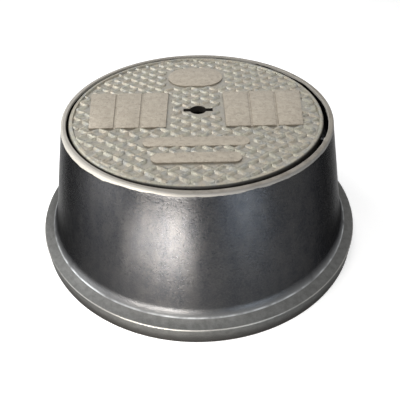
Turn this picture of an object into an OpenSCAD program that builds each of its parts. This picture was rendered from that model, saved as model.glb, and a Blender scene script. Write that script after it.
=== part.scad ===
// Round cast-iron valve box: a tapered housing with a foot flange, and a loose lift-out lid
// that rests on a ledge inside the rim. Millimetres, +Z up, origin under the middle of the foot.

/* [Housing] */
// Height of the housing from the ground to the top of the rim
height = 141; // [110:1:200]
// Diameter over the rim at the top
rim_d = 271; // [240:1:320]
// Width of the bare flat face on top of the rim
rim_w = 5; // [4:0.5:10]
// Radius of the rounded outer edge of the rim
rim_round = 2; // [0.5:0.1:3]
// Thickness of the tapered wall
wall = 6.5; // [5:0.5:10]
// Radius of the concave flare where the wall runs out into the foot
flare_r = 14; // [6:1:24]
// Steepness of the flare at its outer line, from upright
flare_angle = 55; // [40:1:70]

/* [Foot] */
// Diameter of the foot
foot_d = 358; // [320:1:420]
// Height of the upright outer side of the foot
foot_h = 18.7; // [12:0.1:30]
// Diameter of the crisp line where the flare ends
flare_d = 336.5; // [300:0.5:345]
// Rise of the sloped ring from the foot's edge to the flare line
ring_rise = 2.5; // [0:0.1:5]
// Thickness of the foot's ring and of its turned-down side
foot_t = 8; // [6:0.5:11]
// Radius of the foot's rounded edges
foot_round = 1.5; // [0.5:0.1:3]

/* [Seat] */
// Width of the ledge that carries the lid, from the wall inwards
ledge_w = 13.5; // [10:0.5:18]
// Thickness of the ledge at its inner edge
ledge_t = 6; // [4:0.5:10]
// Angle of the ledge's underside, from level
ledge_slope = 40; // [30:1:55]
// Direction of the small locating lug on the rim's inner wall
lug_angle = -26.5; // [-45:0.5:45]
// Width of the locating lug
lug_w = 4; // [2:0.5:8]
// Running gap between the locating lug and the lid
lug_gap = 0.6; // [0.3:0.1:1.5]

/* [Lid] */
// Clearance between the lid's edge and the rim, all round
lid_gap = 3.2; // [2.5:0.1:5]
// How far the lid's top lies below the rim's face
lid_drop = 0.8; // [0:0.1:3]
// Depth of the lid's edge band, from its top to its seat
lid_depth = 16; // [13:0.5:24]
// Thickness of the lid's plate under the tread
lid_t = 7; // [5:0.5:9]
// Width of the lid's edge band on its underside
band_w = 8; // [6:0.5:10]
// Width of the plain border round the tread
border_w = 5; // [3:0.5:9]
// Rounding of the lid's edges
lid_round = 2.4; // [0.4:0.1:3]
// How far the lid lies off centre towards -X
lid_shift_x = 1.2; // [0:0.1:1.5]
// How far the lid lies off centre towards +Y
lid_shift_y = 0.8; // [0:0.1:1.5]

/* [Underside ribs] */
// Number of ribs under the lid
ribs = 4; // [3:1:8]
// Width of each rib
rib_w = 7; // [5:0.5:10]
// Clearance between the underside of the ribs and the level of the seat
rib_lift = 2; // [1:0.5:4]
// Inner diameter of the ring that leaves the lifting key room to turn
key_room_d = 44; // [38:1:60]
// Width of that ring
key_ring_w = 6; // [4:0.5:10]

/* [Keyhole] */
// Diameter of the round hole for the lifting key
key_d = 17; // [14:0.5:20]
// Length of the slot for the key's cross bar
key_slot_l = 30; // [24:0.5:34]
// Width of the slot for the key's cross bar
key_slot_w = 5.8; // [4.5:0.1:6.2]
// How far the keyhole lies off the middle of the lid towards +X
key_shift = 2.3; // [0:0.1:4]

/* [Tread] */
// Spacing of the raised bars along X
bar_pitch_x = 9.75; // [9.5:0.05:14]
// Spacing of the raised bars along Y
bar_pitch_y = 7.65; // [7.5:0.05:12]
// Length of each bar
bar_l = 7.4; // [5:0.1:7.6]
// Width of each bar at its foot
bar_w = 3.3; // [2:0.1:3.4]
// Width of each bar at its top
bar_top_w = 1.6; // [0.8:0.1:2]
// Height of each bar
bar_h = 1.8; // [1:0.1:2.4]

/* [Blank tablets] */
// Height of the tablets above the ground of the tread
tablet_h = 2.2; // [1.2:0.1:2.6]
// Length of the tablets along Y
tablet_l = 70; // [50:1:76]
// Distance of each tablet's inner side from the middle of the lid
tablet_inner = 29; // [24:1:40]
// Reach of each tablet's outer side at its far end
tablet_far = 112; // [95:1:114]
// Reach of each tablet's outer side at its near end
tablet_near = 103; // [90:1:106]
// Number of plain fields in each tablet
fields = 3; // [1:1:5]
// Width of the grooves between the fields
groove_w = 2.2; // [1.4:0.1:4]
// Depth of those grooves
groove_d = 1.2; // [0.5:0.1:2]
// Width of the plain round-ended plate at the back
plate_w = 62; // [40:1:76]
// Length of that plate along Y
plate_l = 46; // [30:1:50]
// Distance of that plate's middle from the middle of the lid
plate_y = 74; // [66:1:80]
// Length of the first plain strip at the front
strip1_l = 98; // [70:1:110]
// Length of the second plain strip at the front
strip2_l = 80; // [50:1:90]
// Width of each plain strip
strip_w = 15; // [10:1:16]
// Distance of the first strip's middle line from the middle of the lid
strip1_y = 60; // [56:1:62]
// Distance between the middle lines of the two strips
strip_step = 25; // [20:1:28]

/* [Hidden] */
$fn = 180;
// Steps in each small round of the turned outlines
round_steps = 6;
// Number of times the wall's angle is worked out afresh
lean_tries = 12;
// Depth by which raised work is rooted in the plate that carries it
root = 1;
// Distance by which a cut runs past the face that it opens
past = 1;
rim_r = rim_d / 2;
rim_in = rim_r - rim_w;
foot_r = foot_d / 2;
flare_line_r = flare_d / 2;
flare_line_z = foot_h + ring_rise;
lid_r = rim_in - lid_gap;
lid_top = height - lid_drop;
seat_z = lid_top - lid_depth;
ledge_r = rim_in - ledge_w;
ground_z = lid_top - bar_h;
plate_bottom = ground_z - lid_t;
// Turn of the bars from the X axis, so that they lie along the diagonals of their spacing
bar_turn = atan2(bar_pitch_y, bar_pitch_x);
// Angle of the tapered wall from upright, so that it meets the flare without a kink
wall_angle = wall_lean(flare_angle / 4, lean_tries);
flare_top_r = flare_line_r - flare_r * (cos(wall_angle) - cos(flare_angle));
flare_top_z = flare_line_z + flare_r * (sin(flare_angle) - sin(wall_angle));

// Wall angle found by repeating the tangent condition between the rim and the flare
function wall_lean(a, n) = n == 0 ? a : wall_lean(
    atan2(flare_line_r - flare_r * (cos(a) - cos(flare_angle)) - rim_r,
          height - rim_round - flare_line_z - flare_r * (sin(flare_angle) - sin(a))), n - 1);

// Radius of the wall's outer face at a height on its straight stretch
function wall_r(z) = rim_r + (height - rim_round - z) * tan(wall_angle);

// Points of an arc about a centre, from one angle to another
function arc(c, r, a0, a1, n = round_steps) =
    [for (i = [0:n]) let (a = a0 + (a1 - a0) * i / n) [c[0] + r * cos(a), c[1] + r * sin(a)]];

// Outline of the outer skin, from the top of the rim down to the foot's ground line
function skin() = concat(
    arc([rim_r - rim_round, height - rim_round], rim_round, 90, 0),
    arc([flare_top_r + flare_r * cos(wall_angle), flare_top_z + flare_r * sin(wall_angle)],
        flare_r, 180 + wall_angle, 180 + flare_angle, 2 * round_steps),
    arc([foot_r - foot_round, foot_h - foot_round], foot_round, 90, 0),
    arc([foot_r - foot_round / 2, foot_round / 2], foot_round / 2, 0, -90));

module housing_section() {
    wall_in = wall / cos(wall_angle);
    ledge_low_z = seat_z - ledge_t;
    // Where the ledge's sloping underside meets the inner face of the wall
    slope_run = (wall_r(ledge_low_z) - wall_in - ledge_r) / (1 - tan(wall_angle) * tan(ledge_slope));
    under_z = ledge_low_z - slope_run * tan(ledge_slope);
    ring_under = flare_line_z - foot_t;
    polygon(concat(
        skin(),
        [[foot_r - foot_t, 0],
         [foot_r - foot_t, foot_h - foot_t],
         [wall_r(ring_under) - wall_in, ring_under],
         [wall_r(under_z) - wall_in, under_z],
         [ledge_r, ledge_low_z],
         [ledge_r, seat_z],
         [rim_in, seat_z],
         [rim_in, height]]));
}

// Small lug on the rim's inner wall that keeps the lid from turning
module locating_lug() {
    reach = lid_gap + lid_shift_x * cos(lug_angle) - lid_shift_y * sin(lug_angle) - lug_gap;
    rotate([0, 0, lug_angle])
        translate([rim_in - reach, -lug_w / 2, seat_z - root])
            cube([reach + root, lug_w, lid_depth - lid_drop + root]);
}

module housing() {
    color([0.22, 0.22, 0.23])
        union() {
            rotate_extrude() housing_section();
            locating_lug();
        }
}

// Turned body of the lid: plate, edge band and the ring round the key's room
module lid_section() {
    polygon(concat(
        [[0, ground_z], [lid_r - border_w, ground_z], [lid_r - border_w + bar_h / 2, lid_top]],
        arc([lid_r - lid_round, lid_top - lid_round], lid_round, 90, 0),
        arc([lid_r - lid_round, seat_z + lid_round], lid_round, 0, -90),
        [[lid_r - band_w, seat_z],
         [lid_r - band_w, plate_bottom],
         [0, plate_bottom]]));
    translate([key_room_d / 2, seat_z + rib_lift])
        square([key_ring_w, plate_bottom + root - seat_z - rib_lift]);
}

// Straight ribs from the ring round the key's room out to the edge band
module underside_ribs() {
    inner = key_room_d / 2 + key_ring_w / 2;
    for (i = [0:ribs - 1])
        rotate([0, 0, 45 + i * 360 / ribs])
            translate([inner, -rib_w / 2, seat_z + rib_lift])
                cube([lid_r - band_w / 2 - inner, rib_w, plate_bottom + root - seat_z - rib_lift]);
}

// One raised bar with sloping flanks, lying along X on the ground of the tread
module bar() {
    flank = (bar_w - bar_top_w) / 2 / bar_h;
    rotate([90, 0, 90])
        translate([0, 0, -bar_l / 2])
            linear_extrude(bar_l)
                polygon([[-bar_w / 2 - root * flank, -root], [bar_w / 2 + root * flank, -root],
                         [bar_top_w / 2, bar_h], [-bar_top_w / 2, bar_h]]);
}

// Half width of a tablet's outline at a height along Y, from its sloping outer side
function tablet_reach(y) = tablet_near + (tablet_far - tablet_near) * (y + tablet_l / 2) / tablet_l;

// True where a bar belongs: inside the border and clear of the plain areas by its margin
function on_tread(x, y) =
    norm([x, y]) < lid_r - border_w - bar_l / 4
    && !(abs(y) < tablet_l / 2 && abs(x) > tablet_inner && abs(x) < tablet_reach(y))
    && !(abs(x) < plate_w / 2 && abs(y - plate_y) < plate_l / 2)
    && !(abs(x) < strip1_l / 2 && abs(y + strip1_y) < strip_w / 2)
    && !(abs(x) < strip2_l / 2 && abs(y + strip1_y + strip_step) < strip_w / 2)
    && !(abs(x - key_shift) < key_slot_l / 2 + bar_l / 2 && abs(y) < key_slot_w / 2 + bar_l / 2)
    && norm([x - key_shift, y]) > key_d / 2 + bar_l / 2;

// Raised bars in rows along crossing diagonals, each leaning the other way from its neighbours
module tread() {
    nx = floor(lid_r / bar_pitch_x);
    ny = floor(lid_r / bar_pitch_y);
    for (i = [-nx:nx], j = [-ny:ny])
        if (on_tread(i * bar_pitch_x, j * bar_pitch_y))
            translate([i * bar_pitch_x, j * bar_pitch_y, ground_z])
                rotate([0, 0, (abs(i + j) % 2 == 0 ? -1 : 1) * bar_turn])
                    bar();
}

// Plain tablet on one side of the lid, parted into blank fields by slanted grooves
module tablet() {
    half = tablet_l / 2;
    step = (tablet_reach(0) - tablet_inner) / fields;
    lean = tablet_far - tablet_near;
    difference() {
        translate([0, 0, ground_z - root])
            linear_extrude(tablet_h + root)
                polygon([[tablet_inner, -half], [tablet_near, -half],
                         [tablet_far, half], [tablet_inner, half]]);
        for (k = [1:1:fields - 1])
            translate([0, 0, ground_z + tablet_h - groove_d])
                linear_extrude(groove_d + past)
                    let (x = tablet_inner + k * step, s = lean * k / fields / 2)
                        polygon([[x - s - groove_w / 2, -half - past], [x - s + groove_w / 2, -half - past],
                                 [x + s + groove_w / 2, half + past], [x + s - groove_w / 2, half + past]]);
    }
}

// Plain strip with round ends along X
module strip(length, width) {
    translate([0, 0, ground_z - root])
        linear_extrude(bar_h + root) {
            square([length - width, width], center = true);
            for (s = [-1, 1])
                translate([s * (length - width) / 2, 0])
                    circle(d = width);
        }
}

module keyhole() {
    translate([key_shift, 0, seat_z - past]) {
        cylinder(d = key_d, h = lid_depth + 2 * past);
        translate([-key_slot_l / 2, -key_slot_w / 2, 0])
            cube([key_slot_l, key_slot_w, lid_depth + 2 * past]);
    }
}

module lid() {
    color([0.62, 0.60, 0.57])
        translate([-lid_shift_x, lid_shift_y, 0])
            difference() {
                union() {
                    rotate_extrude() lid_section();
                    underside_ribs();
                    tread();
                    tablet();
                    mirror([1, 0, 0]) tablet();
                    translate([0, plate_y, 0]) strip(plate_w, plate_l);
                    translate([0, -strip1_y, 0]) strip(strip1_l, strip_w);
                    translate([0, -strip1_y - strip_step, 0]) strip(strip2_l, strip_w);
                }
                keyhole();
            }
}

housing();
lid();
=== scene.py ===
import math

import bpy
from mathutils import Matrix, Vector, noise


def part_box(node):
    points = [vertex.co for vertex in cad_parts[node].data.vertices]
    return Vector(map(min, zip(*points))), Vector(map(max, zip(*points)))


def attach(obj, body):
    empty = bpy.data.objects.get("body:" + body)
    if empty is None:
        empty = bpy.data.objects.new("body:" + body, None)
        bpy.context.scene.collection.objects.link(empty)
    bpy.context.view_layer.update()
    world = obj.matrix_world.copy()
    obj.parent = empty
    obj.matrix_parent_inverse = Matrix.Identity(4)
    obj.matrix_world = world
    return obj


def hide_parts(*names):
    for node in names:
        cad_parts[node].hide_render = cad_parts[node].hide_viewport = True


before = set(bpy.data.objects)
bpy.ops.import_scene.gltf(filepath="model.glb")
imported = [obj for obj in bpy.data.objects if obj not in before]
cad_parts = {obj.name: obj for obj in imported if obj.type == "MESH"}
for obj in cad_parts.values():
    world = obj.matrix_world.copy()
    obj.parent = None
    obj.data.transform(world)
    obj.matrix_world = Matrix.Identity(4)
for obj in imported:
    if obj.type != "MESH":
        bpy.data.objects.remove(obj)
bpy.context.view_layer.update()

MM = 0.001

# The camera is close in front of the box and looks down at the lid, with the photograph's lens, pitch
# and small lean. Its place was found from the rim, the foot and the keyhole.
IMAGE_W = 400
FOCAL_PX = 430.3
CAMERA_BACK = 390.9 * MM
CAMERA_UP = 356.9 * MM
CAMERA_PITCH = math.radians(40.98)
CAMERA_YAW = math.radians(-0.22)
CAMERA_LEAN = math.radians(-0.97)

bpy.ops.object.camera_add(location=(0, -CAMERA_BACK, CAMERA_UP))
camera = bpy.context.object
camera.data.sensor_width = 36
camera.data.lens = FOCAL_PX * camera.data.sensor_width / IMAGE_W
look = Matrix.Rotation(CAMERA_YAW, 4, "Z") @ Matrix.Rotation(math.pi / 2 - CAMERA_PITCH, 4, "X")
camera.matrix_world = Matrix.Translation(camera.location) @ look @ Matrix.Rotation(CAMERA_LEAN, 4, "Z")
bpy.context.scene.camera = camera

# The housing is one iron casting, turned in shape: rim, tapered wall, flare and foot flange, with
# a ledge inside for the lid and a small lug that keeps the lid from turning. It is dipped in a dark
# coat, its rim is ground bright, and its foot is worn.
RIM_R = 135.5 * MM
RIM_IN = 130.5 * MM
RIM_ROUND = 2 * MM
RIM_CHAMFER = 0.3 * MM
WALL = 6.5 * MM
FLARE_R = 14 * MM
FLARE_ANGLE = math.radians(55)
FLARE_LINE_R = 168.25 * MM
FLARE_LINE_Z = 21.2 * MM
FOOT_SIDE_H = 18.7 * MM
FOOT_T = 8 * MM
FOOT_ROUND = 1.5 * MM
LEDGE_R = 117 * MM
LEDGE_T = 6 * MM
LEDGE_SLOPE = math.radians(40)
SEAT_Z = 124.2 * MM
LUG_TURN = math.radians(-26.5)
LUG_W = 4 * MM
LUG_REACH = 4.03 * MM
LUG_TOP = 139.4 * MM
LUG_ROUND = 0.6 * MM
TURNED_STEPS = 224
SMOOTH_UNDER = math.radians(32)
UNEVEN = 0.35 * MM
UNEVEN_PER_M = 22
foot_r = max(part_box("housing")[1].x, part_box("housing")[1].y)
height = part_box("housing")[1].z


def arc(centre_r, centre_z, radius, start, stop, steps):
    points = []
    for i in range(steps + 1):
        a = math.radians(start + (stop - start) * i / steps)
        points.append((centre_r + radius * math.cos(a), centre_z + radius * math.sin(a)))
    return points


def straight(a, b, steps):
    return [(a[0] + (b[0] - a[0]) * i / steps, a[1] + (b[1] - a[1]) * i / steps) for i in range(1, steps)]


def only(piece):
    bpy.ops.object.select_all(action="DESELECT")
    bpy.context.view_layer.objects.active = piece
    piece.select_set(True)


def turned(name, outline):
    bpy.ops.object.select_all(action="DESELECT")
    first_r, first_z = outline[0]
    bpy.ops.mesh.primitive_circle_add(vertices=TURNED_STEPS, radius=first_r, fill_type="NOTHING")
    piece = bpy.context.object
    piece.name = piece.data.name = name
    bpy.ops.object.mode_set(mode="EDIT")
    bpy.ops.mesh.select_all(action="SELECT")
    bpy.ops.transform.translate(value=(0, 0, first_z))
    for (r_a, z_a), (r_b, z_b) in zip(outline, outline[1:]):
        bpy.ops.mesh.extrude_region_move(TRANSFORM_OT_translate={"value": (0, 0, z_b - z_a)})
        bpy.ops.transform.resize(value=(r_b / r_a, r_b / r_a, 1), center_override=(0, 0, z_b))
    bpy.ops.mesh.select_all(action="DESELECT")
    bpy.ops.mesh.select_non_manifold()
    bpy.ops.mesh.bridge_edge_loops()
    bpy.ops.mesh.select_all(action="SELECT")
    bpy.ops.mesh.normals_make_consistent(inside=False)
    bpy.ops.object.mode_set(mode="OBJECT")
    bpy.ops.object.shade_smooth_by_angle(angle=SMOOTH_UNDER)
    return piece


def block(name, size, centre, turn=0):
    bpy.ops.object.select_all(action="DESELECT")
    bpy.ops.mesh.primitive_cube_add(size=1, location=centre, rotation=(0, 0, turn), scale=size)
    bpy.ops.object.transform_apply(location=True, rotation=True, scale=True)
    bpy.context.object.name = bpy.context.object.data.name = name
    return bpy.context.object


def soften(piece, width):
    step = piece.modifiers.new("soften", "BEVEL")
    step.width = width
    step.segments = 3
    only(piece)
    bpy.ops.object.modifier_apply(modifier=step.name)
    bpy.ops.object.shade_smooth_by_angle(angle=SMOOTH_UNDER)


# Wall lean that meets the flare without a kink, found by repeating the tangent condition
lean = FLARE_ANGLE / 4
for _ in range(12):
    run = FLARE_LINE_R - FLARE_R * (math.cos(lean) - math.cos(FLARE_ANGLE)) - RIM_R
    drop = height - RIM_ROUND - FLARE_LINE_Z - FLARE_R * (math.sin(FLARE_ANGLE) - math.sin(lean))
    lean = math.atan2(run, drop)
flare_top = (RIM_R + run, height - RIM_ROUND - drop)
wall_in = WALL / math.cos(lean)


def wall_r(z):
    return RIM_R + (height - RIM_ROUND - z) * math.tan(lean)


ledge_low = SEAT_Z - LEDGE_T
slope_run = (wall_r(ledge_low) - wall_in - LEDGE_R) / (1 - math.tan(lean) * math.tan(LEDGE_SLOPE))
under_z = ledge_low - slope_run * math.tan(LEDGE_SLOPE)
ring_under = FLARE_LINE_Z - FOOT_T
flare_deg = math.degrees(FLARE_ANGLE)
lean_deg = math.degrees(lean)
inside_foot = (wall_r(ring_under) - wall_in, ring_under)
inside_ledge = (wall_r(under_z) - wall_in, under_z)
housing_outline = (
    arc(RIM_R - RIM_ROUND, height - RIM_ROUND, RIM_ROUND, 90, 0, 8)
    + straight((RIM_R, height - RIM_ROUND), flare_top, 24)
    + arc(flare_top[0] + FLARE_R * math.cos(lean), flare_top[1] + FLARE_R * math.sin(lean),
          FLARE_R, 180 + lean_deg, 180 + flare_deg, 12)
    + arc(foot_r - FOOT_ROUND, FOOT_SIDE_H - FOOT_ROUND, FOOT_ROUND, 88, 0, 6)
    + arc(foot_r - FOOT_ROUND / 2, FOOT_ROUND / 2, FOOT_ROUND / 2, 0, -90, 4)
    + [(foot_r - FOOT_T, 0), (foot_r - FOOT_T, FOOT_SIDE_H - FOOT_T)]
    + [inside_foot] + straight(inside_foot, inside_ledge, 12) + [inside_ledge]
    + [(LEDGE_R, ledge_low), (LEDGE_R, SEAT_Z), (RIM_IN, SEAT_Z)]
    + [(RIM_IN, height - RIM_CHAMFER), (RIM_IN + RIM_CHAMFER, height)]
)
housing = turned("housing_casting", housing_outline)
# Cast skins are never quite true: the outside swells and sinks a little, only ever inwards here
for vertex in housing.data.vertices:
    r = math.hypot(vertex.co.x, vertex.co.y)
    if r > wall_r(vertex.co.z) - WALL / 2 and vertex.co.z > FOOT_ROUND:
        sink = UNEVEN * (0.5 + 0.5 * noise.noise(vertex.co * UNEVEN_PER_M))
        vertex.co.x *= 1 - sink / r
        vertex.co.y *= 1 - sink / r
lug_size = (LUG_REACH + MM, LUG_W, LUG_TOP - SEAT_Z + MM)
lug_r = RIM_IN + (MM - LUG_REACH) / 2
lug_centre = (lug_r * math.cos(LUG_TURN), lug_r * math.sin(LUG_TURN), (LUG_TOP + SEAT_Z - MM) / 2)
lug = block("lug", lug_size, lug_centre, LUG_TURN)
soften(lug, LUG_ROUND)
only(housing)
lug.select_set(True)
bpy.ops.object.join()
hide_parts("housing")
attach(housing, "root")


def feed(tree, socket, value):
    if isinstance(value, tuple):
        socket.default_value = (*value, 1)
    elif isinstance(value, (int, float)):
        socket.default_value = value
    else:
        tree.links.new(value, socket)


def new_math(tree, how, a, b=0.0):
    node = tree.nodes.new("ShaderNodeMath")
    node.operation = how
    feed(tree, node.inputs[0], a)
    feed(tree, node.inputs[1], b)
    return node.outputs[0]


class Finish:
    """A material under work: its nodes, and short ways to add grain, masks and blends."""

    def __init__(self, name, specular):
        self.made = bpy.data.materials.new(name)
        self.made.use_nodes = True
        self.tree = self.made.node_tree
        self.nodes, self.links = self.tree.nodes, self.tree.links
        self.skin = self.nodes["Principled BSDF"]
        self.skin.inputs["Specular IOR Level"].default_value = specular
        place = self.nodes.new("ShaderNodeTexCoord").outputs["Object"]
        split = self.nodes.new("ShaderNodeSeparateXYZ")
        self.links.new(place, split.inputs[0])
        self.place, self.x, self.y, self.z = place, *split.outputs

    def math(self, how, a, b=0.0):
        return new_math(self.tree, how, a, b)

    def plus(self, a, b):
        return self.math("ADD", a, b)

    def times(self, a, b):
        return self.math("MULTIPLY", a, b)

    def distance(self, x, y):
        return self.math("SQRT", self.plus(self.times(x, x), self.times(y, y)))

    def grain(self, per_m, detail=3.0, rough=0.55, stretch=(1, 1, 1)):
        place = self.nodes.new("ShaderNodeMapping")
        place.inputs["Scale"].default_value = stretch
        self.links.new(self.place, place.inputs["Vector"])
        node = self.nodes.new("ShaderNodeTexNoise")
        node.inputs["Scale"].default_value = per_m
        node.inputs["Detail"].default_value = detail
        node.inputs["Roughness"].default_value = rough
        self.links.new(place.outputs[0], node.inputs["Vector"])
        return node.outputs[0]

    def mask(self, value, low, high):
        node = self.nodes.new("ShaderNodeMapRange")
        node.interpolation_type = "SMOOTHSTEP"
        self.links.new(value, node.inputs[0])
        node.inputs[1].default_value = low
        node.inputs[2].default_value = high
        return node.outputs[0]

    def between(self, share, low, high):
        node = self.nodes.new("ShaderNodeMapRange")
        self.links.new(share, node.inputs[0])
        feed(self.tree, node.inputs[3], low)
        feed(self.tree, node.inputs[4], high)
        return node.outputs[0]

    def blend(self, share, a, b):
        node = self.nodes.new("ShaderNodeMix")
        node.data_type = "RGBA"
        self.links.new(share, node.inputs[0])
        feed(self.tree, node.inputs[6], a)
        feed(self.tree, node.inputs[7], b)
        return node.outputs[2]

    def bump(self, *heights):
        normal = None
        for value, depth, strength in heights:
            node = self.nodes.new("ShaderNodeBump")
            node.inputs["Strength"].default_value = strength
            node.inputs["Distance"].default_value = depth
            self.links.new(value, node.inputs["Height"])
            if normal:
                self.links.new(normal, node.inputs["Normal"])
            normal = node.outputs[0]
        self.links.new(normal, self.skin.inputs["Normal"])

    def finish(self, colour, metallic, roughness):
        feed(self.tree, self.skin.inputs["Base Color"], colour)
        feed(self.tree, self.skin.inputs["Metallic"], metallic)
        feed(self.tree, self.skin.inputs["Roughness"], roughness)
        return self.made


# The housing's finish: a dark dip coat over sand-cast iron, thin in patches. It is ground off on the
# rim down to an uneven line and worn to grey iron from the flare's end outwards, on the foot's ring.
# Painted light: the rim lighter on its left, painted highlights on its left outer edge and the bore's
# edge, a painted sheen towards the flare's end, and painted highlight lines along it and the foot's edge.
COAT_DARK = (0.026, 0.027, 0.030)
COAT_THIN = (0.060, 0.058, 0.056)
COAT_GRAZE = 0.3
RIM_IRON = (0.275, 0.255, 0.225)
RIM_STAIN = (0.189, 0.171, 0.147)
# Painted light: the rim's top is lighter towards the left, the side the light falls from
RIM_LEFT_LIGHT = (0.388, 0.371, 0.341)
EDGE_IRON = (0.231, 0.222, 0.207)
# Painted light: the bright tone of the rim's left outer edge and of the bore's edge
EDGE_PAINTED_LIGHT = (0.46, 0.44, 0.4)
# Painted sheen: the flare brightens towards its end, in patches
FLARE_SHEEN = (0.17, 0.172, 0.174)
# Painted highlight: a bright line along the flare's end
FLARE_GLINT = (0.363, 0.374, 0.38)
FOOT_IRON = (0.12, 0.12, 0.117)
FOOT_STAIN = (0.085, 0.085, 0.082)
FOOT_LOW = (0.055, 0.053, 0.051)
# Painted highlight line along the foot's upper edge
FOOT_EDGE_GLINT = (0.391, 0.38, 0.356)
GROUND_TO = height - 2.8 * MM
GROUND_WANDER = 4 * MM
# Painted highlight: how much further down the bare band reaches on the lit side
HIGHLIGHT_DEEPER = 1.5 * MM
# The rim's painted highlight, and its bare band painted deeper, are strongest on the side that this angle,
# from the front to the left, points at
HIGHLIGHT_TURN = math.radians(55)
HIGHLIGHT_WIDER = 1.4 * MM
RIM_LEFT_LIGHT_SHARE = 0.6
THIN_SHARE = 0.35
FLARE_FADE = 13 * MM
FLARE_STEEP = 5
COAT_METAL = 0.95
RIM_METAL = 0.35
# Roughness, from the finest grain's low parts to its high parts
COAT_ROUGH = (0.2, 0.38)
RIM_ROUGH = (0.55, 0.8)
FOOT_ROUGH = (0.36, 0.6)
FLARE_ROUGH = 0.42

coat = Finish("dipped_cast_iron", 0.5)
coat.skin.inputs["Specular Tint"].default_value = (COAT_GRAZE, COAT_GRAZE, COAT_GRAZE, 1)
fine = coat.grain(620, 4, 0.6)
blotch = coat.grain(85, 5, 0.7)
streak = coat.grain(90, 3, 0.5, (1, 1, 0.12))
wander = coat.grain(45, 3, 0.6)
reach = coat.distance(coat.x, coat.y)
highlight_side = coat.plus(coat.times(coat.x, -math.sin(HIGHLIGHT_TURN)),
                        coat.times(coat.y, -math.cos(HIGHLIGHT_TURN)))

# Coat, with a painted sheen that brightens towards the flare's end, in patches
thin = coat.mask(coat.plus(coat.times(blotch, 0.6), coat.times(streak, 0.4)), 0.36, 0.66)
speck = coat.mask(fine, 0.42, 0.66)
dipped = coat.blend(coat.times(thin, THIN_SHARE), COAT_DARK, COAT_THIN)
dipped = coat.blend(coat.times(speck, THIN_SHARE), dipped, COAT_THIN)
flare_soft = coat.mask(reach, FLARE_LINE_R - FLARE_FADE, FLARE_LINE_R + 1 * MM)
flare_sheen_share = coat.times(coat.math("POWER", flare_soft, FLARE_STEEP), coat.mask(wander, 0.1, 0.45))
dipped = coat.blend(flare_sheen_share, dipped, FLARE_SHEEN)
# Painted highlight: a bright line just inside the flare's end, in patches
on_line = coat.mask(reach, FLARE_LINE_R - 1.6 * MM, FLARE_LINE_R - 0.6 * MM)
dipped = coat.blend(coat.times(on_line, coat.mask(wander, 0.35, 0.65)), dipped, FLARE_GLINT)

# Ground rim, painted lighter on its left, with a painted highlight on its left outer edge, the bare band
# reaching deeper there as painted highlight, and painted light on the bore's edge
# Painted highlight: the bare band runs deeper down the wall on the lit side
lit_deeper = coat.mask(highlight_side, 118 * MM, 132 * MM)
rim_edge = coat.plus(coat.z, coat.times(coat.math("SUBTRACT", wander, 0.5), GROUND_WANDER))
rim_edge = coat.plus(rim_edge, coat.times(lit_deeper, HIGHLIGHT_DEEPER))
rim_share = coat.times(coat.mask(rim_edge, GROUND_TO - 0.3 * MM, GROUND_TO + 0.4 * MM),
                       coat.mask(reach, RIM_IN - 1.2 * MM, RIM_IN - 0.3 * MM))
rim_tone = coat.blend(coat.mask(coat.grain(60, 4, 0.65), 0.42, 0.68), RIM_IRON, RIM_STAIN)
# Painted light: the rim's top lightens towards the left
left_light = coat.mask(coat.times(coat.x, -1), 20 * MM, 115 * MM)
rim_tone = coat.blend(coat.times(left_light, RIM_LEFT_LIGHT_SHARE), rim_tone, RIM_LEFT_LIGHT)
# Painted highlight on the rim's outer edge towards the lit side, spread a little wider there
highlight_share = coat.mask(highlight_side, 85 * MM, 115 * MM)
edge_tone = coat.blend(highlight_share, EDGE_IRON, EDGE_PAINTED_LIGHT)
edge_reach = coat.plus(reach, coat.times(highlight_share, HIGHLIGHT_WIDER))
rim_tone = coat.blend(coat.mask(edge_reach, RIM_R - 1.6 * MM, RIM_R - 0.6 * MM), rim_tone, edge_tone)
# Painted light: the bore's edge and the bore wall below it take the bright edge tone all round
rim_tone = coat.blend(coat.mask(reach, RIM_IN, RIM_IN + 0.4 * MM), EDGE_PAINTED_LIGHT, rim_tone)

# Worn foot, darker towards the ground, with a painted highlight line along its upper edge
foot_share = coat.mask(coat.plus(reach, coat.times(wander, 0.8 * MM)),
                       FLARE_LINE_R + 0.2 * MM, FLARE_LINE_R + 0.8 * MM)
foot_tone = coat.blend(coat.mask(coat.grain(160, 4, 0.7), 0.3, 0.75), FOOT_IRON, FOOT_STAIN)
foot_corner = FOOT_SIDE_H + foot_r
# Painted highlight along the foot's upper outer corner
on_corner = coat.mask(coat.plus(coat.z, reach), foot_corner - 1.4 * MM, foot_corner - 0.7 * MM)
foot_tone = coat.blend(on_corner, foot_tone, FOOT_EDGE_GLINT)
foot_tone = coat.blend(coat.mask(coat.z, 2 * MM, 15 * MM), FOOT_LOW, foot_tone)

tone = coat.blend(rim_share, coat.blend(foot_share, dipped, foot_tone), rim_tone)
metal = coat.between(rim_share, COAT_METAL, RIM_METAL)
rough = coat.between(flare_soft, coat.between(fine, *COAT_ROUGH), FLARE_ROUGH)
rough = coat.between(rim_share, rough, coat.between(fine, *RIM_ROUGH))
rough = coat.between(foot_share, rough, coat.between(fine, *FOOT_ROUGH))
coat.bump((coat.grain(150, 3, 0.5), 0.5 * MM, 0.3), (fine, 0.4 * MM, 0.55), (streak, 0.4 * MM, 0.15))
housing.data.materials.clear()
housing.data.materials.append(coat.finish(tone, metal, rough))

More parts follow.
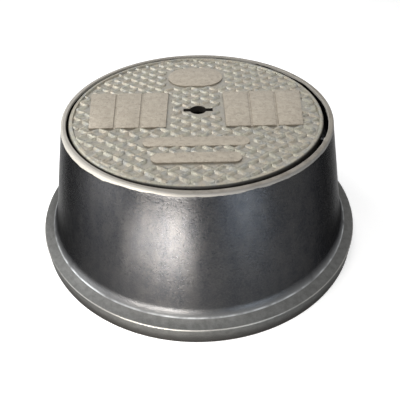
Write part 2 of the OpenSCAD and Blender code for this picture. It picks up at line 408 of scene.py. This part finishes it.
# The lid is one iron casting too: a plate with an edge band that rests on the ledge, and ribs under
# it. The keyhole goes right through, and a ring leaves the lifting key room to turn below it.
LID_R = 127.3 * MM
LID_TOP = 140.2 * MM
LID_T = 7 * MM
BAND_W = 8 * MM
BAND_SLOPE = 1 * MM
BORDER_W = 5 * MM
LID_ROUND = 2.4 * MM
LID_X = -1.2 * MM
LID_Y = 0.8 * MM
BAR_H = 1.8 * MM
KEY_X = 2.3 * MM
KEY_D = 17 * MM
KEY_SLOT_L = 30 * MM
KEY_SLOT_W = 5.8 * MM
KEY_STEPS = 64
KEY_ROOM_R = 22 * MM
KEY_RING_W = 6 * MM
RIBS = 4
RIB_TURN = 45
RIB_W = 7 * MM
RIB_LIFT = 2 * MM
EYE_R = 1 * MM
PLATE_RINGS = (40 * MM, 80 * MM)
ground = LID_TOP - BAR_H
plate_under = ground - LID_T
rib_low = SEAT_Z + RIB_LIFT

lid_outline = (
    [(r, ground) for r in (EYE_R, *PLATE_RINGS)]
    + [(LID_R - BORDER_W, ground), (LID_R - BORDER_W + BAR_H / 2, LID_TOP)]
    + arc(LID_R - LID_ROUND, LID_TOP - LID_ROUND, LID_ROUND, 90, 0, 7)
    + arc(LID_R - LID_ROUND, SEAT_Z + LID_ROUND, LID_ROUND, 0, -90, 5)
    + [(LID_R - BAND_W, SEAT_Z), (LID_R - BAND_W - BAND_SLOPE, plate_under)]
    + [(KEY_ROOM_R + KEY_RING_W, plate_under), (KEY_ROOM_R + KEY_RING_W, rib_low)]
    + [(KEY_ROOM_R, rib_low), (KEY_ROOM_R, plate_under), (EYE_R, plate_under)]
)
lid = turned("lid_casting", lid_outline)


def combine(piece, other, how):
    step = piece.modifiers.new("combine", "BOOLEAN")
    step.operation = how
    step.object = other
    step.solver = "EXACT"
    only(piece)
    bpy.ops.object.modifier_apply(modifier=step.name)
    bpy.data.objects.remove(other)


rib_inner = KEY_ROOM_R + KEY_RING_W / 2
rib_outer = LID_R - BAND_W / 2
for i in range(RIBS):
    a = math.radians(RIB_TURN + i * 360 / RIBS)
    middle = (rib_inner + rib_outer) / 2
    place = (middle * math.cos(a), middle * math.sin(a), (rib_low + plate_under + MM) / 2)
    rib = block("rib", (rib_outer - rib_inner, RIB_W, plate_under + MM - rib_low), place, a)
    combine(lid, rib, "UNION")
combine(lid, block("slot", (KEY_SLOT_L, KEY_SLOT_W, 3 * LID_T), (KEY_X, 0, ground)), "DIFFERENCE")
bpy.ops.mesh.primitive_cylinder_add(vertices=KEY_STEPS, radius=KEY_D / 2, depth=3 * LID_T,
                                    location=(KEY_X, 0, ground))
combine(lid, bpy.context.object, "DIFFERENCE")

# The blank tablets stand in the tread to the left and right of the keyhole, cast with the lid.
# Each is parted into plain slanted fields by shallow grooves, and its top is smoother than the tread.
TABLET_L = 70 * MM
TABLET_INNER = 29 * MM
TABLET_FAR = 112 * MM
TABLET_NEAR = 103 * MM
TABLET_H = 2.2 * MM
FIELDS = 3
GROOVE_W = 2.2 * MM
GROOVE_D = 1.2 * MM
TABLET_ROUND = 0.5 * MM
GROOVE_ROUND = 0.4 * MM
raised = []
smooth_tops = []


def slanted_slab(name, near, far, low, high, edge):
    middle = (far[0] + far[1] + near[0] + near[1]) / 4
    width = (near[1] - near[0] + far[1] - far[0]) / 2
    slab = block(name, (width, TABLET_L, high - low), (middle, 0, (low + high) / 2))
    for vertex in slab.data.vertices:
        side = near if vertex.co.y < 0 else far
        vertex.co.x = side[0] if vertex.co.x < middle else side[1]
    soften(slab, edge)
    return slab


groove_bottom = ground + TABLET_H - GROOVE_D
field_step = ((TABLET_NEAR + TABLET_FAR) / 2 - TABLET_INNER) / FIELDS
slant = (TABLET_FAR - TABLET_NEAR) / 2
for side in (-1, 1):
    near = sorted((side * TABLET_INNER, side * TABLET_NEAR))
    far = sorted((side * TABLET_INNER, side * TABLET_FAR))
    smooth_tops.append(slanted_slab("tablet_base", near, far, ground - MM, groove_bottom, GROOVE_ROUND))
    edges = []
    for k in range(FIELDS + 1):
        x = TABLET_INNER + k * field_step
        edges.append((side * (x - slant * k / FIELDS), side * (x + slant * k / FIELDS)))
    for k in range(FIELDS):
        inner_gap = side * GROOVE_W / 2 * (k > 0)
        outer_gap = side * GROOVE_W / 2 * (k < FIELDS - 1)
        near = sorted((edges[k][0] + inner_gap, edges[k + 1][0] - outer_gap))
        far = sorted((edges[k][1] + inner_gap, edges[k + 1][1] - outer_gap))
        smooth_tops.append(slanted_slab("tablet_field", near, far, ground, ground + TABLET_H, TABLET_ROUND))

# The plain round-ended plate at the back and the two plain strips at the front are cast with the lid
# as well, as high as the tread's bars.
PLATE_W = 62 * MM
PLATE_L = 46 * MM
PLATE_Y = 74 * MM
PLATE_ROUND = 0.5 * MM
PLATE_CORNERS = 66
STRIP_L = (98 * MM, 80 * MM)
STRIP_W = 15 * MM
STRIP_Y = (-60 * MM, -85 * MM)
STRIP_ROUND = 0.4 * MM
STRIP_CORNERS = 34


def round_ended(name, length, width, y, edge, corners):
    bpy.ops.object.select_all(action="DESELECT")
    bpy.ops.mesh.primitive_circle_add(vertices=corners, radius=width / 2, fill_type="NGON")
    piece = bpy.context.object
    piece.name = piece.data.name = name
    for vertex in piece.data.vertices:
        vertex.co.x += math.copysign((length - width) / 2, vertex.co.x)
    bpy.ops.object.mode_set(mode="EDIT")
    bpy.ops.mesh.select_all(action="SELECT")
    bpy.ops.transform.translate(value=(0, y, ground - MM))
    bpy.ops.mesh.extrude_region_move(TRANSFORM_OT_translate={"value": (0, 0, BAR_H + MM)})
    bpy.ops.mesh.bevel(offset=edge, segments=3, affect="EDGES")
    bpy.ops.mesh.select_all(action="SELECT")
    bpy.ops.mesh.normals_make_consistent(inside=False)
    bpy.ops.object.mode_set(mode="OBJECT")
    bpy.ops.object.shade_smooth_by_angle(angle=SMOOTH_UNDER)
    return piece


smooth_tops.append(round_ended("back_plate", PLATE_W, PLATE_L, PLATE_Y, PLATE_ROUND, PLATE_CORNERS))
for length, y in zip(STRIP_L, STRIP_Y):
    smooth_tops.append(round_ended("front_strip", length, STRIP_W, y, STRIP_ROUND, STRIP_CORNERS))

# The tread is a field of raised bars along crossing diagonals, so that they close round small pockets.
# They are cast with the lid, with rounded tops and soft feet that run into each other.
BAR_PITCH_X = 9.75 * MM
BAR_PITCH_Y = 7.65 * MM
BAR_L = 13.8 * MM
BAR_W = 6.6 * MM
BAR_SETTLED = 0.3
BAR_SETTLED_PER_M = 400
BAR_ROUGH = 0.6 * MM
BAR_ROUGH_UP = 0.4
BAR_ROUGH_PER_M = 230
# A bar's middle stays at least this far from the keyhole and its slot
KEY_CLEAR = 3.7 * MM
BAR_TURN = math.atan2(BAR_PITCH_Y, BAR_PITCH_X)
BAR_CORNERS = 14
BAR_SMOOTH_UNDER = math.radians(60)
# Length, width and height of each ring of the bar, as shares of its foot and its height
BAR_RINGS = ((1.05, 1.15, -0.2), (0.98, 0.94, 0.15), (0.93, 0.7, 0.5), (0.9, 0.42, 0.82),
             (0.84, 0.16, 0.97))
# Sizes tried in turn until the bar stays off the lid's rounded edge; by the key slot the first is left out
BAR_FITS = (1, 0.8, 0.6)


def raised_bar():
    bpy.ops.object.select_all(action="DESELECT")
    bpy.ops.mesh.primitive_circle_add(vertices=BAR_CORNERS, radius=BAR_W / 2, fill_type="NGON")
    bar = bpy.context.object
    for vertex in bar.data.vertices:
        vertex.co.x += math.copysign((BAR_L - BAR_W) / 2, vertex.co.x)
    bpy.ops.object.mode_set(mode="EDIT")
    bpy.ops.mesh.select_all(action="SELECT")
    now = (1, 1, 0)
    for ring in BAR_RINGS:
        rise = (ring[2] - now[2]) * BAR_H
        if ring is BAR_RINGS[0]:
            bpy.ops.transform.translate(value=(0, 0, rise))
        else:
            bpy.ops.mesh.extrude_region_move(TRANSFORM_OT_translate={"value": (0, 0, rise)})
        scale = (ring[0] / now[0], ring[1] / now[1], 1)
        bpy.ops.transform.resize(value=scale, center_override=(0, 0, ring[2] * BAR_H))
        now = ring
    bpy.ops.mesh.select_all(action="SELECT")
    bpy.ops.mesh.normals_make_consistent(inside=False)
    bpy.ops.object.mode_set(mode="OBJECT")
    bpy.ops.object.shade_smooth_by_angle(angle=BAR_SMOOTH_UNDER)
    return bar


def on_tread(x, y):
    tablet_end = TABLET_NEAR + (TABLET_FAR - TABLET_NEAR) * (y + TABLET_L / 2) / TABLET_L
    if abs(y) < TABLET_L / 2 and TABLET_INNER < abs(x) < tablet_end:
        return False
    if abs(x) < PLATE_W / 2 and abs(y - PLATE_Y) < PLATE_L / 2:
        return False
    if any(abs(x) < length / 2 and abs(y - at) < STRIP_W / 2 for length, at in zip(STRIP_L, STRIP_Y)):
        return False
    if abs(x - KEY_X) < KEY_SLOT_L / 2 + KEY_CLEAR and abs(y) < KEY_SLOT_W / 2 + KEY_CLEAR:
        return False
    return math.hypot(x - KEY_X, y) > KEY_D / 2 + KEY_CLEAR


def fitting_scale(x, y, turn):
    by_slot = abs(x - KEY_X) < (KEY_SLOT_L + BAR_L) / 2 and abs(y) < (KEY_SLOT_W + BAR_L) / 2
    for scale in BAR_FITS[by_slot:]:
        run = scale * (BAR_L - BAR_W) / 2
        ends = [math.hypot(x + k * run * math.cos(turn), y + k * run * math.sin(turn)) for k in (-1, 1)]
        if max(ends) + scale * BAR_W / 2 < LID_R - LID_ROUND / 2:
            return scale
    return 0


first_bar = raised_bar()
columns = int(LID_R / BAR_PITCH_X)
rows = int(LID_R / BAR_PITCH_Y)
for i in range(-columns, columns + 1):
    for j in range(-rows, rows + 1):
        x, y = i * BAR_PITCH_X, j * BAR_PITCH_Y
        turn = BAR_TURN * (-1 if (i + j) % 2 == 0 else 1)
        scale = fitting_scale(x, y, turn)
        if not scale or not on_tread(x, y):
            continue
        bar = first_bar.copy()
        bar.data = first_bar.data.copy()
        settled = BAR_SETTLED * (0.5 + 0.5 * noise.noise(Vector((x, y, 0)) * BAR_SETTLED_PER_M))
        bar.data.transform(Matrix.Diagonal((scale, scale, 1 - settled, 1)))
        bar.data.transform(Matrix.Translation((x, y, ground)) @ Matrix.Rotation(turn, 4, "Z"))
        for vertex in bar.data.vertices:
            if vertex.co.z > ground:
                nudge = noise.noise_vector(vertex.co * BAR_ROUGH_PER_M) * BAR_ROUGH
                vertex.co.x += nudge.x
                vertex.co.y += nudge.y
                vertex.co.z = min(vertex.co.z + BAR_ROUGH_UP * nudge.z, LID_TOP)
        bpy.context.collection.objects.link(bar)
        raised.append(bar)
bpy.data.objects.remove(first_bar)

# The lid's finishes: bare blasted iron, bright on worn tops, darker in the hollows and at the tablets' feet
# with dust and painted shade; smoother and a little browner on the tablets; near black as painted shade on
# the sides, below and in the keyhole
TOP_IRON = (0.298, 0.286, 0.23)
TOP_RUST = (0.311, 0.275, 0.218)
TOP_GREY = (0.251, 0.25, 0.23)
TOP_SPECK = (0.123, 0.111, 0.094)
# Hollow tones, partly dust and partly painted shade
HOLLOW_IRON = (0.207, 0.191, 0.166)
HOLLOW_DUST = (0.261, 0.241, 0.211)
TABLET_IRON = (0.367, 0.325, 0.261)
TABLET_STAIN = (0.289, 0.251, 0.201)
# Painted shade on the lid's rounded edge
EDGE_SHADE = (0.03, 0.028, 0.025)
# Painted shade: near black for the lid's sides, underside and keyhole walls
DARK_IRON = (0.012, 0.011, 0.010)
DARK_GREY = (0.032, 0.028, 0.024)
TOP_HOLLOW_FADE = 0.7 * MM
TREAD_METAL = 0.6
HOLLOW_METAL = 0.3
TABLET_METAL = 0.45
TREAD_ROUGH = (0.3, 0.5)
TABLET_ROUGH = (0.38, 0.58)
DARK_ROUGH = (0.55, 0.8)
SPECK_ON_TREAD = 0.75
SPECK_ON_TABLETS = 0.5
# Painted shade on the lid's rounded edge reaches further in towards the front, and less far in on the left
EDGE_SHADE_GAIN = 0.013

iron = Finish("bare_tread_iron", 0.5)
fine = iron.grain(520, 4, 0.6)
stain = iron.grain(48, 4, 0.65)
level = iron.plus(iron.z, iron.times(iron.math("SUBTRACT", fine, 0.5), 0.8 * MM))
# Dust and painted shade: the hollows between the bars are darker than the tops
worn_tops_shaded_hollows = iron.mask(level, ground - TOP_HOLLOW_FADE, ground + TOP_HOLLOW_FADE)
east = iron.math("SUBTRACT", iron.x, LID_X)
north = iron.math("SUBTRACT", iron.y, LID_Y)
shift = iron.times(north, -EDGE_SHADE_GAIN)
shift = iron.plus(shift, iron.times(iron.math("MINIMUM", east, 0), EDGE_SHADE_GAIN))
# Painted shade on the lid's rounded edge, following the light's direction
edge_shade_share = iron.mask(iron.plus(iron.distance(east, north), shift), LID_R - 1.0 * MM, LID_R + 0.6 * MM)
hollow = iron.blend(iron.mask(stain, 0.35, 0.65), HOLLOW_IRON, HOLLOW_DUST)
warm = iron.mask(iron.grain(85, 3, 0.6), 0.4, 0.62)
cold = iron.mask(iron.grain(130, 3, 0.6, (1, 1, 0.5)), 0.45, 0.65)
pits = iron.mask(iron.grain(300, 3, 0.7), 0.5, 0.72)
rubbed = iron.blend(cold, iron.blend(warm, TOP_IRON, TOP_RUST), TOP_GREY)
rubbed = iron.blend(iron.times(pits, SPECK_ON_TREAD), rubbed, TOP_SPECK)
tone = iron.blend(edge_shade_share, iron.blend(worn_tops_shaded_hollows, hollow, rubbed), EDGE_SHADE)
metal = iron.between(worn_tops_shaded_hollows, HOLLOW_METAL, TREAD_METAL)
iron.bump((iron.grain(210, 3, 0.5), 0.9 * MM, 0.8), (fine, 0.4 * MM, 0.7))
tread_made = iron.finish(tone, metal, iron.between(fine, *TREAD_ROUGH))

iron = Finish("rubbed_tablet_iron", 0.5)
fine = iron.grain(700, 4, 0.6)
cloud = iron.mask(iron.grain(150, 4, 0.7), 0.36, 0.68)
pits = iron.mask(iron.grain(340, 3, 0.7), 0.5, 0.72)
# Dust and painted shade: the tablets' feet take the darker hollow tone
above_tablet_foot = iron.mask(iron.z, ground - 0.1 * MM, ground + 0.5 * MM)
rubbed = iron.blend(cloud, TABLET_IRON, TABLET_STAIN)
rubbed = iron.blend(iron.times(pits, SPECK_ON_TABLETS), rubbed, TOP_SPECK)
tone = iron.blend(above_tablet_foot, HOLLOW_IRON, rubbed)
iron.bump((iron.grain(220, 3, 0.6), 0.9 * MM, 0.6), (fine, 0.3 * MM, 0.7))
tablet_made = iron.finish(tone, TABLET_METAL, iron.between(fine, *TABLET_ROUGH))

iron = Finish("painted_shade_iron", 0.3)
fine = iron.grain(420, 4, 0.6)
tone = iron.blend(iron.mask(fine, 0.35, 0.65), DARK_IRON, DARK_GREY)
iron.bump((fine, 0.25 * MM, 0.5))
dark_made = iron.finish(tone, 0.0, iron.between(fine, *DARK_ROUGH))

lid_finishes = (tread_made, tablet_made, dark_made)
lid.data.materials.clear()
for made in lid_finishes:
    lid.data.materials.append(made)
for piece in raised:
    piece.data.materials.append(tread_made)
for piece in smooth_tops:
    piece.data.materials.append(tablet_made)
side_from = LID_R - LID_ROUND * 0.2
side_top = LID_TOP - LID_ROUND * 0.8
# Painted shade: faces on the lid's side, below it and in the keyhole take the near-black material
for face in lid.data.polygons:
    x, y, z = face.center
    near_key = abs(x - KEY_X) < KEY_SLOT_L / 2 + MM and abs(y) < KEY_D / 2 + MM
    on_side = math.hypot(x, y) > side_from and z < side_top
    below = face.normal.z < -0.5 or z < ground - MM
    if on_side or below or (near_key and face.normal.z < 0.5):
        face.material_index = lid_finishes.index(dark_made)
only(lid)
for piece in raised + smooth_tops:
    piece.select_set(True)
bpy.ops.object.join()
lid.data.transform(Matrix.Translation((LID_X, LID_Y, 0)))
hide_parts("lid")
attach(lid, "root")

# The studio is a pale floor under soft lamps. The floor and the world show white to the eye and in
# gloss, and the floor keeps the box's soft shadow.
FLOOR_R = 4
FLOOR_GREY = 0.84
FLOOR_GLOW = 0.46
WORLD_DIM = 0.35
WARM = (1, 0.95, 0.88)
SOFT_WARM = (1, 0.97, 0.93)
COOL = (0.75, 0.87, 1)
SOFT_COOL = (0.93, 0.97, 1)


def looked_at(tree):
    rays = tree.nodes.new("ShaderNodeLightPath").outputs
    seen = new_math(tree, "MAXIMUM", rays["Is Camera Ray"], rays["Is Glossy Ray"])
    return new_math(tree, "MAXIMUM", seen, rays["Is Transmission Ray"])


bpy.ops.object.select_all(action="DESELECT")
bpy.ops.mesh.primitive_circle_add(vertices=64, radius=FLOOR_R, fill_type="NGON")
floor = bpy.context.object
floor.name = floor.data.name = "floor"
pale = bpy.data.materials.new("pale_floor")
pale.use_nodes = True
tree = pale.node_tree
skin = tree.nodes["Principled BSDF"]
skin.inputs["Base Color"].default_value = (FLOOR_GREY, FLOOR_GREY, FLOOR_GREY, 1)
skin.inputs["Roughness"].default_value = 0.9
skin.inputs["Specular IOR Level"].default_value = 0.1
skin.inputs["Emission Color"].default_value = (1, 1, 1, 1)
# The ground that the box stands over doesn't glow, so the keyhole is dark from above
middle = tree.nodes.new("ShaderNodeVectorMath")
middle.operation = "LENGTH"
tree.links.new(tree.nodes.new("ShaderNodeTexCoord").outputs["Object"], middle.inputs[0])
outside = new_math(tree, "GREATER_THAN", middle.outputs["Value"], foot_r - FOOT_T)
glow = new_math(tree, "MULTIPLY", looked_at(tree), FLOOR_GLOW)
tree.links.new(new_math(tree, "MULTIPLY", glow, outside), skin.inputs["Emission Strength"])
floor.data.materials.append(pale)


def lamp(name, place, aim, width, depth, watts, tint=(1, 1, 1)):
    bpy.ops.object.light_add(type="AREA", location=place)
    made = bpy.context.object
    made.name = made.data.name = name
    made.data.shape = "RECTANGLE"
    made.data.size = width
    made.data.size_y = depth
    made.data.energy = watts
    made.data.color = tint
    made.rotation_euler = (Vector(aim) - Vector(place)).to_track_quat("-Z", "Y").to_euler()
    made.visible_camera = False


lamp("low_front", (-0.084, -0.35, 0.031), (-0.03, -0.14, 0.09), 0.085, 0.026, 0.66, WARM)
lamp("low_left_front", (-0.16, -0.315, 0.031), (-0.03, -0.14, 0.09), 0.13, 0.026, 0.52, WARM)
lamp("low_left", (-0.48, -0.26, 0.06), (-0.1, -0.1, 0.09), 0.3, 0.1, 0.62)
lamp("low_right_front", (0.24, -0.46, 0.045), (0, -0.1, 0.09), 0.2, 0.08, 0.38, COOL)
lamp("overhead", (0.05, -0.2, 1.05), (0.02, -0.15, 0.02), 0.3, 0.06, 0.9, SOFT_COOL)
lamp("high_left_front", (-0.27, -0.62, 0.98), (0, 0, 0.08), 0.6, 0.36, 3.6, SOFT_WARM)
lamp("left_side", (-0.95, -0.08, 0.66), (0, 0, 0.14), 0.3, 0.3, 3.5)
lamp("left_back", (-0.6, 0.42, 0.8), (0, 0, 0.14), 0.4, 0.4, 3.3)
lamp("back_top", (0.1, 0.85, 0.95), (0, 0, 0.14), 0.9, 0.7, 1.9)

world = bpy.data.worlds.new("studio")
bpy.context.scene.world = world
world.use_nodes = True
tree = world.node_tree
sky = tree.nodes["Background"]
sky.inputs["Color"].default_value = (1, 1, 1, 1)
brightness = tree.nodes.new("ShaderNodeMapRange")
brightness.inputs[3].default_value = WORLD_DIM
brightness.inputs[4].default_value = 1
tree.links.new(looked_at(tree), brightness.inputs[0])
tree.links.new(brightness.outputs[0], sky.inputs["Strength"])
bpy.context.scene.view_settings.view_transform = "Standard"
